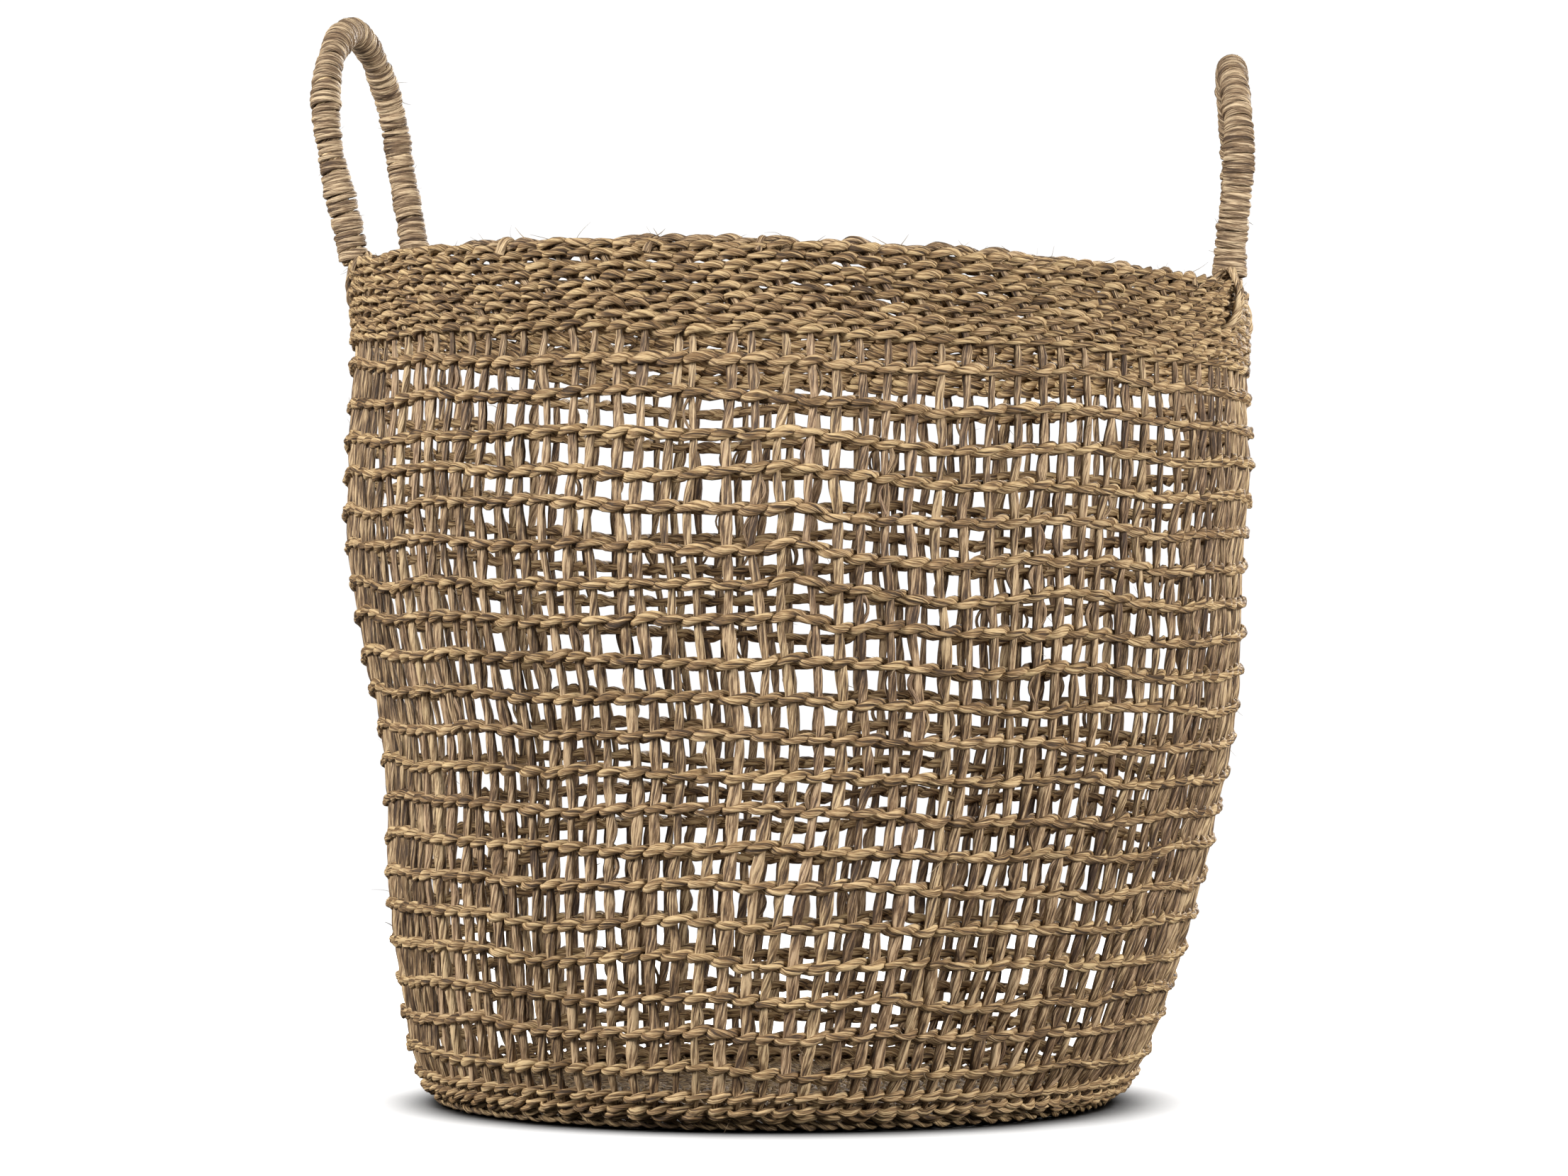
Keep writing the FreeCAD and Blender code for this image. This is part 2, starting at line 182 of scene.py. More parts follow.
def smooth_noise(count, feature, periodic=False):
    """Noise of unit size along count samples, with bumps about feature samples wide."""
    raw = RNG.standard_normal(count)
    reach = max(1, int(feature * 2))
    kernel = np.exp(-0.5 * (np.arange(-reach, reach + 1) / max(feature / 2, 0.3)) ** 2)
    kernel /= math.sqrt((kernel ** 2).sum())
    if periodic:
        padded = np.concatenate([raw[-reach:], raw, raw[:reach]]) if reach < count else raw
        return np.convolve(padded, kernel, "valid") if reach < count else raw * 0
    padded = np.concatenate([RNG.standard_normal(reach), raw, RNG.standard_normal(reach)])
    return np.convolve(padded, kernel, "valid")


# Waves round the basket, phase, climb and size of each part of the drift
DRIFT_WAVES = [
    (waves, RNG.uniform(0, 2 * math.pi), RNG.normal(0, 9), 1.5 * MM / waves ** 0.55)
    for waves in range(2, 17)
]


def drift(theta, place):
    """How far the weave has crept up or down the wall here."""
    total = 0.0
    for waves, phase, climb, size in DRIFT_WAVES:
        total = total + size * np.sin(waves * theta + phase + climb * place)
    peak = bump_at(turned(theta, FRONT), 0.0, 0.055) * bump_at(place, 0.232, 0.035)
    fade = np.clip(place / 0.06, 0, 1) * np.clip((0.40 - place) / 0.09, 0.25, 1)
    return (total * 0.75 + 4.0 * MM * peak) * fade


# ---------------------------------------------------------------- cords

class Cord:
    """One swept cord: its surface points and what its material needs to know about them."""

    def __init__(self, path, facing, width, depth, pitch, sides=10, lobes=0.15, closed=False,
                 tone=0.0, hue=0.0, taper=0, warp=slump):
        path = np.asarray(path, float)
        if warp is not None:
            probe = 0.5 * MM
            tips = warp(path + facing * probe)
            path = warp(path)
            facing = (tips - path) / probe
        count = len(path)
        if closed:
            tangent = np.roll(path, -1, 0) - np.roll(path, 1, 0)
        else:
            tangent = np.gradient(path, axis=0)
        tangent /= np.linalg.norm(tangent, axis=1)[:, None] + 1e-12
        first = facing - tangent * (facing * tangent).sum(1)[:, None]
        first /= np.linalg.norm(first, axis=1)[:, None] + 1e-12
        second = np.cross(tangent, first)
        steps = np.linalg.norm(np.diff(path, axis=0), axis=1)
        along = np.concatenate([[0], np.cumsum(steps)])
        if closed:
            whole = along[-1] + np.linalg.norm(path[0] - path[-1])
            turns = max(1, round(whole / pitch))
            pitch = whole / turns
        twist = 2 * math.pi * along / pitch + RNG.uniform(0, 2 * math.pi)
        around = 2 * math.pi * np.arange(sides) / sides
        phase = around[None, :] - twist[:, None]
        step = steps.mean() + 1e-9
        fat = 1 + 0.09 * smooth_noise(count, 9 * MM / step, closed)[:, None]
        strip = smooth_noise(count, 5 * MM / step, closed)[:, None]
        ragged = 0.06 * strip * np.cos(phase + RNG.uniform(0, FULL_TURN))
        uneven = ragged + 0.045 * np.cos(3 * phase + RNG.uniform(0, FULL_TURN))
        shape = fat * (1 + lobes * np.cos(2 * phase) + uneven)
        if taper:
            ends = np.minimum(np.arange(count), np.arange(count)[::-1]) / taper
            shape = shape * np.sqrt(np.clip(ends, 0.02, 1))[:, None]
        depth = np.broadcast_to(np.asarray(depth, float), (count,))[:, None]
        width = np.broadcast_to(np.asarray(width, float), (count,))[:, None]
        self.points = (
            path[:, None, :]
            + first[:, None, :] * (np.cos(around) * depth * shape)[:, :, None]
            + second[:, None, :] * (np.sin(around) * width * shape)[:, :, None]
        ).reshape(-1, 3)
        turn = np.stack([
            np.cos(phase) * 2.0 * MM, np.sin(phase) * 2.0 * MM,
            np.broadcast_to(along[:, None] * 0.085, phase.shape),
        ], 2)
        self.turn = turn.reshape(-1, 3)
        self.seed = np.full(count * sides, RNG.uniform(0, 5))
        patch = smooth_noise(count, 10 * MM / step, closed)
        self.tone = np.repeat(tone + 0.8 * patch, sides)
        self.hue = np.full(count * sides, hue)
        self.rings, self.sides, self.closed = count, sides, closed
        self.path, self.first, self.second, self.tangent = path, first, second, tangent
        self.size = float(depth.mean())


def cord_faces(cord, base, lane_start):
    """Corner indices of the cord's side quads, and where each corner falls in the unwrap."""
    rings, sides = cord.rings, cord.sides
    spans = rings if cord.closed else rings - 1
    ring = np.arange(spans)[:, None]
    side = np.arange(sides)[None, :]
    next_ring = (ring + 1) % rings
    next_side = (side + 1) % sides
    quads = np.stack([
        ring * sides + side, ring * sides + next_side,
        next_ring * sides + next_side, next_ring * sides + side,
    ], 2).reshape(-1, 4) + base
    step = np.broadcast_to(ring + lane_start, (spans, sides))
    turn = np.broadcast_to(side, (spans, sides))
    corners = np.stack([step, step, step + 1, step + 1], 2).reshape(-1, 4)
    turns = np.stack([turn, turn + 1, turn + 1, turn], 2).reshape(-1, 4)
    return quads, corners, turns


def build(name, cords, material, body, nodes):
    """Joins cords into one mesh object. It stands for CAD nodes and rides on a body, if named."""
    verts, quads, corners, turns, caps = [], [], [], [], []
    base = lane = 0
    for cord in cords:
        faces, step, turn = cord_faces(cord, base, lane)
        verts.append(cord.points)
        quads.append(faces)
        corners.append(step)
        turns.append(turn / cord.sides)
        if not cord.closed:
            caps.append(base + np.arange(cord.sides))
            caps.append(base + (cord.rings - 1) * cord.sides + np.arange(cord.sides)[::-1])
        base += len(cord.points)
        lane += cord.rings + 2
    verts, quads = np.concatenate(verts), np.concatenate(quads)
    corners, turns = np.concatenate(corners), np.concatenate(turns)
    lanes = max(1, int(math.sqrt(lane / 10)))
    per_lane = math.ceil(lane / lanes) + 1
    which = corners.min(1, keepdims=True) // per_lane
    u = (corners - which * per_lane) / (per_lane + 1)
    v = (which + 0.04 + 0.92 * turns) / (lanes + 1)
    mesh = bpy.data.meshes.new(name)
    cap_size = sum(len(cap) for cap in caps)
    mesh.vertices.add(len(verts))
    mesh.vertices.foreach_set("co", verts.astype(np.float32).ravel())
    mesh.loops.add(quads.size + cap_size)
    indices = np.concatenate([quads.ravel()] + caps) if caps else quads.ravel()
    mesh.loops.foreach_set("vertex_index", indices.astype(np.int32))
    totals = np.concatenate([np.full(len(quads), 4), [len(cap) for cap in caps]]).astype(np.int32)
    starts = np.concatenate([[0], np.cumsum(totals)[:-1]]).astype(np.int32)
    mesh.polygons.add(len(totals))
    mesh.polygons.foreach_set("loop_start", starts)
    mesh.polygons.foreach_set("loop_total", totals)
    flags = np.ones(len(totals), bool)
    flags[len(quads):] = False
    mesh.polygons.foreach_set("use_smooth", flags)
    layer = mesh.uv_layers.new(name="OFBake")
    cap_uv = np.zeros((cap_size, 2))
    at = 0
    for number, cap in enumerate(caps):
        turn = 2 * math.pi * np.arange(len(cap)) / len(cap)
        place = (number + 0.5) / len(caps)
        cap_uv[at:at + len(cap), 0] = place + np.cos(turn) * 0.3 / len(caps)
        cap_uv[at:at + len(cap), 1] = (lanes + 0.5 + 0.4 * np.sin(turn)) / (lanes + 1)
        at += len(cap)
    uv = np.concatenate([np.stack([u.ravel(), v.ravel()], 1), cap_uv])
    layer.data.foreach_set("uv", uv.astype(np.float32).ravel())
    for key in ("turn", "seed", "tone", "hue"):
        values = np.concatenate([getattr(cord, key) for cord in cords]).astype(np.float32)
        kind, part = ("FLOAT_VECTOR", "vector") if values.ndim == 2 else ("FLOAT", "value")
        target = mesh.attributes.new(key, kind, "POINT")
        target.data.foreach_set(part, values.ravel())
    mesh.update()
    mesh.validate()
    piece = bpy.data.objects.new(name, mesh)
    bpy.context.scene.collection.objects.link(piece)
    mesh.materials.append(material)
    if body:
        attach(piece, body)
    if nodes:
        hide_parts(*nodes)
    return piece


# ---------------------------------------------------------------- materials

def seagrass(name, dark, middle, light, plies, groove_bump_and_painted_shade=0.42, streak=1500.0, rough=0.62, bump=0.7):
    """Twisted dry grass: plies with painted shade in the grooves between them, a painted highlight
    on their ridges, and fine streaks along them.
    """
    material = bpy.data.materials.new(name)
    material.use_nodes = True
    tree = material.node_tree
    nodes, links = tree.nodes, tree.links
    nodes.clear()
    output = nodes.new("ShaderNodeOutputMaterial")
    shader = nodes.new("ShaderNodeBsdfPrincipled")
    links.new(shader.outputs[0], output.inputs[0])

    def attribute(key):
        node = nodes.new("ShaderNodeAttribute")
        node.attribute_name = key
        return node

    def put(socket, value):
        if isinstance(value, (float, int)):
            socket.default_value = value
        else:
            links.new(value, socket)

    def calculate(kind, *values):
        node = nodes.new("ShaderNodeMath")
        node.operation = kind
        for place, value in enumerate(values):
            put(node.inputs[place], value)
        return node.outputs[0]

    turn = attribute("turn").outputs["Vector"]
    split = nodes.new("ShaderNodeSeparateXYZ")
    links.new(turn, split.inputs[0])
    seed = attribute("seed").outputs["Fac"]
    shifted = nodes.new("ShaderNodeVectorMath")
    links.new(turn, shifted.inputs[0])
    links.new(seed, shifted.inputs[1])

    def noise(scale, detail, roughness):
        node = nodes.new("ShaderNodeTexNoise")
        node.inputs["Scale"].default_value = scale
        node.inputs["Detail"].default_value = detail
        node.inputs["Roughness"].default_value = roughness
        links.new(shifted.outputs[0], node.inputs["Vector"])
        return node.outputs["Fac"]

    fine = noise(streak, 3.0, 0.62)
    broad = noise(streak * 0.25, 2.0, 0.5)
    angle = calculate("ARCTAN2", split.outputs["Y"], split.outputs["X"])
    wobble = calculate("MULTIPLY_ADD", broad, 2.4, seed)
    ply_angle = calculate("MULTIPLY_ADD", angle, plies / 2, wobble)
    ridge_bump_and_painted_light = calculate("POWER", calculate("ABSOLUTE", calculate("SINE", ply_angle)), 0.55)
    level = calculate("MULTIPLY_ADD", fine, 2.1, -1.05)
    level = calculate("MULTIPLY_ADD", broad, 1.0, level)
    level = calculate("MULTIPLY_ADD", attribute("tone").outputs["Fac"], 0.085, level)
    # Painted shade in the grooves between plies and a painted highlight on their ridges, in the
    # colour; the same level also drives the bump.
    level = calculate("MULTIPLY_ADD", ridge_bump_and_painted_light, groove_bump_and_painted_shade, level)
    level = calculate("ADD", level, -0.75 * groove_bump_and_painted_shade)
    ramp = nodes.new("ShaderNodeValToRGB")
    links.new(level, ramp.inputs[0])
    stops = ramp.color_ramp.elements
    stops[0].position, stops[0].color = 0.14, (*dark, 1)
    stops[1].position, stops[1].color = 0.84, (*light, 1)
    centre = stops.new(0.48)
    centre.color = (*middle, 1)
    mauve = nodes.new("ShaderNodeMix")
    mauve.data_type = "RGBA"
    mauve.blend_type = "MULTIPLY"
    links.new(attribute("hue").outputs["Fac"], mauve.inputs["Factor"])
    links.new(ramp.outputs["Color"], mauve.inputs["A"])
    mauve.inputs["B"].default_value = (0.82, 0.76, 0.84, 1)
    links.new(mauve.outputs["Result"], shader.inputs["Base Color"])
    links.new(calculate("MULTIPLY_ADD", fine, -0.25, rough + 0.12), shader.inputs["Roughness"])
    shader.inputs["Specular IOR Level"].default_value = 0.35
    raised = nodes.new("ShaderNodeBump")
    raised.inputs["Strength"].default_value = bump
    raised.inputs["Distance"].default_value = 0.0007
    links.new(level, raised.inputs["Height"])
    links.new(raised.outputs["Normal"], shader.inputs["Normal"])
    return material


STAKE_MATERIAL = seagrass(
    "stake_seagrass", (0.045, 0.024, 0.011), (0.205, 0.126, 0.060), (0.53, 0.385, 0.215), plies=5)
WEFT_MATERIAL = seagrass(
    "weft_seagrass", (0.045, 0.024, 0.010), (0.232, 0.136, 0.056), (0.57, 0.41, 0.210), plies=4)
# The base's seagrass is a darker copy of the weft's: painted shade for the bottom, which lies in
# the basket's shadow.
BASE_PAINTED_SHADE_MATERIAL = seagrass(
    "base_seagrass_painted_shade", (0.040, 0.021, 0.009), (0.150, 0.090, 0.038), (0.40, 0.28, 0.14), plies=4)
WRAP_MATERIAL = seagrass(
    "wrap_twine", (0.062, 0.035, 0.018), (0.215, 0.138, 0.073), (0.56, 0.425, 0.26), plies=3,
    groove_bump_and_painted_shade=0.38)
CORE_MATERIAL = seagrass(
    "core_rope", (0.045, 0.024, 0.010), (0.240, 0.148, 0.070), (0.62, 0.46, 0.26), plies=4)


# ---------------------------------------------------------------- where the stakes go

LOWER_PLACES = [0.0045, 0.0088, 0.0150]     # base edge row and the two tight rows
LEVELS = np.array(LOWER_PLACES + list(WALL_HEIGHTS))


def stake_wander():
    """Sideways creep of every stake at every row, in metres along the wall."""
    count = len(LEVELS)
    heights = np.arange(0, 0.37, 0.004)
    fine_count = len(heights)
    wander = np.zeros((STAKES, count))
    samples = np.interp(LEVELS, heights, np.arange(fine_count))
    for stake in range(STAKES):
        slow = smooth_noise(fine_count, 16) * 0.9 * MM
        quick = smooth_noise(fine_count, 3.4) * 0.95 * MM
        wander[stake] = np.interp(samples, np.arange(fine_count), slow + quick)
    theta = (np.arange(STAKES) + 0.5) * STAKE_STEP
    for waves in (3, 5, 8, 13):
        phase, climb = RNG.uniform(0, FULL_TURN), RNG.normal(0, 10)
        wander += 0.9 * MM * np.sin(waves * theta[:, None] + phase + climb * LEVELS[None, :])
    for _ in range(40):
        stake, level = RNG.integers(0, STAKES), RNG.integers(4, OPEN_ROWS + 2)
        pull = bump_at(np.arange(count), level, RNG.uniform(0.8, 2.2)) * RNG.uniform(1.2, 2.6) * MM
        wander[stake] += pull
        wander[(stake + 1) % STAKES] -= pull
    calm = np.interp(LEVELS, [0.0, 0.02, 0.30, 0.34, 0.37], [0.4, 0.8, 1.0, 0.6, 0.5])
    wander = wander * calm[None, :]
    band_row = np.clip(np.arange(count) - (count - BAND_ROWS), 0, None)
    jitter = 0.9 * MM * RNG.standard_normal((STAKES, count)) * (band_row > 0)
    return wander - 2.6 * MM * band_row + jitter


WANDER = stake_wander()
# Azimuth of every stake at every row
STAKE_THETA = (np.arange(STAKES) + 0.5)[:, None] * STAKE_STEP + WANDER / USUAL_RADIUS


def stake_cord(stake):
    """One upright from the edge of the base to just under the rim."""
    foot = np.linspace(-1.5 * MM, CORNER_START, 9)[:-1]
    rest = np.arange(CORNER_START, WALL_HEIGHTS[-1] - 0.5 * MM, CORD_STEP)
    places = np.concatenate([foot, rest])
    theta = np.interp(places, LEVELS, STAKE_THETA[stake])
    kernel = np.array([1, 2, 3, 2, 1]) / 9
    padded = np.pad(theta, 2, mode="edge")
    theta = np.convolve(padded, kernel, "valid")
    out = 0.35 * MM * smooth_noise(len(places), 5)
    points, normals = on_wall(theta, places, out)
    nearest = np.abs(places[:, None] - WALL_HEIGHTS[None, :OPEN_ROWS]).min(1)
    free = np.clip(nearest / (7.5 * MM), 0, 1)
    swell = 0.90 + 0.16 * free
    in_band = places > WALL_HEIGHTS[OPEN_ROWS] - 4 * MM
    swell = np.where(in_band, 0.85, swell) * RNG.uniform(0.84, 1.16)
    swell = swell * np.interp(places, [0, 0.012, 0.02, 0.09, 0.18, 0.28, 0.32],
                              [0.55, 0.6, 1.08, 1.12, 1.0, 1.0, 0.84])
    tone, hue = RNG.normal(0, 1.0), RNG.uniform(0, 0.8) ** 1.5
    return Cord(points, normals, 2.04 * MM * swell, 1.55 * MM * swell, RNG.uniform(50, 130) * MM,
                sides=10, lobes=0.12, tone=tone, hue=hue)


def loose_ply(stake, level):
    """A thin ply that leaves its stake at one row, bows sideways and rejoins it at the next."""
    t = np.linspace(0, 1, 9)
    places = LEVELS[level] + (LEVELS[level + 1] - LEVELS[level]) * t
    theta = np.interp(places, LEVELS, STAKE_THETA[stake])
    bow = RNG.choice([-1, 1]) * RNG.uniform(2.0, 4.2) * MM
    theta = theta + bow / USUAL_RADIUS * np.sin(math.pi * t) ** RNG.uniform(0.8, 1.6)
    points, normals = on_wall(theta, places, RNG.normal(0, 0.6) * MM + 0 * t)
    half = RNG.uniform(0.6, 1.15) * MM
    return Cord(points, normals, half, half * 0.8, 40 * MM, sides=7, lobes=0.12,
                tone=RNG.normal(0, 1.2), hue=RNG.uniform(0.2, 1.0))


def row_strands(level, stand_off, rise, width, depth, lobes=0.2, pitch=32 * MM,
                squareness=0.7, lens=0.26, drop=0.0, loose=0.25 * MM, lift=0.0,
                uneven=0.22 * MM, inner=0.0, pace=1.0):
    """The two strands of a twined row, which cross between stakes.

    stand_off is how far a strand passes from the wall's line, rise how far it swings up and
    down between stakes, drop how much lower the outer strand runs, inner how much thicker the
    inner one is, lens how much a strand thins where it crosses, and pace how often it crosses.
    """
    count = int(2 * math.pi * USUAL_RADIUS / CORD_STEP)
    stake = np.arange(count) / count * STAKES
    theta_at = STAKE_THETA[:, level]
    wrapped = np.concatenate([theta_at[-2:] - 2 * math.pi, theta_at, theta_at[:2] + 2 * math.pi])
    theta = np.interp(stake, np.arange(-2, STAKES + 2), wrapped)
    place = LEVELS[level] + lift
    own = 0.8 * MM * smooth_noise(count, 12 * count / STAKES / 4, True)
    own = own + 0.35 * MM * smooth_noise(count, count / STAKES, True)
    calm = 0.35 if place < 0.016 or place > WALL_HEIGHTS[OPEN_ROWS] - MM else 1.0
    strands = []
    for half in (0, 1):
        swing = math.pi * (stake * pace + half)
        cosine = np.cos(swing)
        side = np.sign(cosine) * np.abs(cosine) ** squareness
        out = stand_off * side + loose * smooth_noise(count, count / STAKES * 0.8, True)
        up = rise * np.sin(swing) * RNG.uniform(0.85, 1.1) + own * calm + drift(theta, place)
        up = up - drop * side
        up = up + uneven * smooth_noise(count, count / STAKES * 0.7, True)
        points, normals = on_wall(theta, place + up, out)
        belly = (1.06 - lens + lens * cosine ** 2) * (1 - inner * side)
        tone, hue = RNG.normal(0, 0.4), RNG.uniform(0, 0.35)
        strands.append(Cord(points, normals, width * belly, depth * belly,
                            pitch * RNG.uniform(0.85, 1.2), sides=12, lobes=lobes, closed=True,
                            tone=tone, hue=hue))
    return strands


# ---------------------------------------------------------------- pieces of the basket

HOSTS = []


def keep_for_fibres(cords):
    """Remembers cords so that loose fibres can grow from them."""
    HOSTS.extend(cords)
    return cords


def make_stakes():
    """The uprights, one piece for each CAD group."""
    quarter = STAKES // 4
    for number, side in enumerate(("right", "back", "left", "front")):
        first = number * quarter - quarter // 2
        cords = [stake_cord((first + i) % STAKES) for i in range(quarter)]
        keep_for_fibres(cords)
        for i in range(quarter):
            levels = 2 + np.flatnonzero(RNG.random(OPEN_ROWS) < 0.15)
            cords += [loose_ply((first + i) % STAKES, level) for level in levels]
        build(f"stakes_{side}_cords", cords, STAKE_MATERIAL, "basket",
              [f"stakes_{side}"])


def make_rows():
    """Every twined row from the base edge to the top of the band."""
    edge = []
    for lift in (-2.2 * MM, 0.9 * MM):
        edge += row_strands(0, 2.4 * MM, 1.2 * MM, 1.5 * MM, 1.5 * MM, squareness=1.0,
                            lens=0.04, lift=lift, pace=0.75)
    build("base_edge_row_twine", keep_for_fibres(edge), WEFT_MATERIAL, "basket",
          ["base_edge_row"])
    for number, place in enumerate(("lower", "upper"), start=1):
        strands = row_strands(number, 2.6 * MM, 1.1 * MM, 1.5 * MM, 1.35 * MM,
                              squareness=0.9, lens=0.06)
        build(f"tight_row_{place}_twine", keep_for_fibres(strands), WEFT_MATERIAL, "basket",
              [f"tight_row_{place}"])
    for row in range(OPEN_ROWS):
        level = len(LOWER_PLACES) + row
        strands = row_strands(level, 2.5 * MM, 1.15 * MM, 1.75 * MM, 1.25 * MM,
                              pitch=27 * MM, squareness=0.85, lens=0.1)
        build(f"weft_row_{row + 1:02d}_twine", keep_for_fibres(strands), WEFT_MATERIAL, "basket",
              [f"weft_row_{row + 1:02d}"])
    for row in range(BAND_ROWS):
        level = len(LOWER_PLACES) + OPEN_ROWS + row
        strands = row_strands(level, 2.5 * MM, 0.75 * MM, 1.74 * MM, 1.4 * MM, lobes=0.18,
                              pitch=24 * MM, squareness=0.65, lens=0.11, drop=-0.6 * MM,
                              loose=0.4 * MM, uneven=0.38 * MM, inner=0.15)
        build(f"band_row_{row + 1:02d}_twine", keep_for_fibres(strands), WEFT_MATERIAL, "basket",
              [f"band_row_{row + 1:02d}"])


def fold_over(theta):
    """A stake's end bent straight over the rim, from the outside to the inside."""
    turn = np.linspace(0, math.pi, 13)
    half, top = RNG.uniform(3.2, 4.0) * MM, WALL_HEIGHTS[-1] + RNG.uniform(0.2, 1.2) * MM
    radius = WALL_RADII[-1] + fullness(top) + half * np.cos(turn)
    height = top + RNG.uniform(1.8, 2.8) * MM * np.sin(turn) - 3.5 * MM * np.abs(np.cos(turn)) ** 3
    spread = theta + 0.006 * turn
    points = np.stack([radius * np.cos(spread), radius * np.sin(spread), height], 1)
    level = np.cos(turn)
    facing = np.stack([np.cos(spread) * level, np.sin(spread) * level, np.sin(turn)], 1)
    return Cord(points, facing, RNG.uniform(1.7, 2.3) * MM, 1.3 * MM, 60 * MM, sides=9, lobes=0.12,
                tone=RNG.normal(0, 0.8), hue=RNG.uniform(0, 0.4))


def make_rim():
    """Stake ends turned over to the right and tucked down inside, one after another."""
    cords = []
    top = WALL_HEIGHTS[-1]
    for stake in range(STAKES):
        start = STAKE_THETA[stake, -1]
        t = np.linspace(0, 1, 22)
        reach = RNG.uniform(1.7, 2.3) * STAKE_STEP
        theta = start + reach * t
        crest = RNG.uniform(2.6, 5.2) * MM
        arch = np.sin(math.pi * np.clip(t * 1.05, 0, 1)) ** 0.7
        height = top - 2.6 * MM + crest * arch + 1.2 * MM * t
        out = (1.6 - 5.2 * t ** 1.5) * MM + RNG.normal(0, 0.25) * MM
        radius = WALL_RADII[-1] + out
        points = np.stack([radius * np.cos(theta), radius * np.sin(theta), height], 1)
        facing = np.stack([0 * theta, 0 * theta, 1 + 0 * theta], 1)
        cords.append(Cord(points, facing, 1.7 * MM, 1.5 * MM, RNG.uniform(18, 30) * MM, sides=9,
                          lobes=0.13, tone=RNG.normal(0, 0.9), hue=RNG.uniform(0, 0.4), taper=2))
    for stake in RNG.choice(STAKES, 9, replace=False):
        cords.append(fold_over(STAKE_THETA[stake, -1] + RNG.normal(0, 0.008)))
    keep_for_fibres(cords)
    build("rim_roll_ends", cords, STAKE_MATERIAL, "basket", ["rim_roll"])


def make_base():
    """Flat woven bottom: twined rounds over spokes that multiply outward, out to the wall."""
    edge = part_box("base_mat")[1].x
    middle = 3.1 * MM
    cords = []
    radius = 5 * MM
    while radius < edge + 8 * MM:
        doublings = sum(radius >= start for start in (0.024, 0.05, 0.095))
        spokes = STAKES // 8 * 2 ** doublings
        count = max(40, int(2 * math.pi * radius / (2.4 * MM)))
        turn = np.arange(count) / count * 2 * math.pi
        for half in (0, 1):
            swing = spokes / 2 * turn + math.pi * half
            up = middle + 1.25 * MM * np.cos(swing)
            r = radius + 0.8 * MM * np.sin(swing) + 0.25 * MM * smooth_noise(count, 8, True)
            points = np.stack([r * np.cos(turn), r * np.sin(turn), up], 1)
            facing = np.stack([0 * turn, 0 * turn, 1 + 0 * turn], 1)
            cords.append(Cord(points, facing, 1.7 * MM, 1.25 * MM, 16 * MM, sides=8, lobes=0.14,
                              closed=True, tone=RNG.normal(0, 0.5)))
        radius += 4.3 * MM
    build("base_mat_rounds", cords, BASE_PAINTED_SHADE_MATERIAL, "basket", ["base_mat"])


# ---------------------------------------------------------------- handles

# Lean of each loop outward, and how its crest is lifted, its legs bowed and its tip pushed out
LEAN = {"left": math.radians(9), "right": math.radians(1)}
CROWN = {"left": (3.5 * MM, 1.5 * MM, 0.0), "right": (0.5 * MM, 2.4 * MM, 0.5 * MM)}
HALF_WIDTH = 42.5 * MM    # of a loop, to the middle of its rope
WRAP_RADIUS = 6.5 * MM
WRAP_START = 9.0 * MM     # the wrap begins this far below the hinge line


def handle_axes(side):
    """Hinge point, direction along the hinge, and direction up the loop's legs."""
    joint = next(j for j in frame["joints"] if j["child"] == f"handle_{side}")
    hinge = np.array(joint["pos_m"], float)
    along = np.array(joint["axis"], float)
    outward = np.cross(along, [0, 0, 1])
    up = np.array([0, 0, 1]) * math.cos(LEAN[side]) + outward * math.sin(LEAN[side])
    return hinge, along, up


def handle_path(side, below, count):
    """Centre line of a loop from below one foot, over the top, to below the other."""
    hinge, along, up = handle_axes(side)
    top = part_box(f"handle_{side}_wrap")[1].z
    leg = (top - hinge[2]) / math.cos(LEAN[side]) - HALF_WIDTH - WRAP_RADIUS
    arc = math.pi * HALF_WIDTH
    whole = 2 * (leg + below) + arc
    place = np.linspace(0, whole, count)
    first = place < leg + below
    last = place > leg + below + arc
    angle = np.clip((place - leg - below) / HALF_WIDTH, 0, math.pi)
    across = np.where(first, HALF_WIDTH, np.where(last, -HALF_WIDTH, HALF_WIDTH * np.cos(angle)))
    rise = np.where(first, place - below, np.where(last, whole - below - place,
                                                   leg + HALF_WIDTH * np.sin(angle)))
    share = np.clip(rise / (leg + HALF_WIDTH), 0, 1)
    across = across * (1 + 0.10 * np.sin(math.pi * share) - 0.02)
    crest, bow, tip = CROWN[side]
    rise = rise + crest * share ** 6 - 1.0 * MM
    outward = np.cross(along, [0, 0, 1])
    sway = bow * np.sin(math.pi * share) ** 1.5 + tip * share ** 3
    sway = sway + 0.7 * MM * np.sin(3 * math.pi * place / whole + 0.4) * np.clip(share * 3, 0, 1)
    return hinge + across[:, None] * along + rise[:, None] * up + sway[:, None] * outward


def frames_along(path):
    """Tangents and two steady side directions along a path."""
    tangent = np.gradient(path, axis=0)
    tangent /= np.linalg.norm(tangent, axis=1)[:, None]
    first = np.cross(tangent, np.array([0.3, 0.9, 0.1]))
    side = np.zeros_like(path)
    side[0] = first[0] / np.linalg.norm(first[0])
    for i in range(1, len(path)):
        kept = side[i - 1] - tangent[i] * (side[i - 1] @ tangent[i])
        side[i] = kept / np.linalg.norm(kept)
    return tangent, side, np.cross(tangent, side)


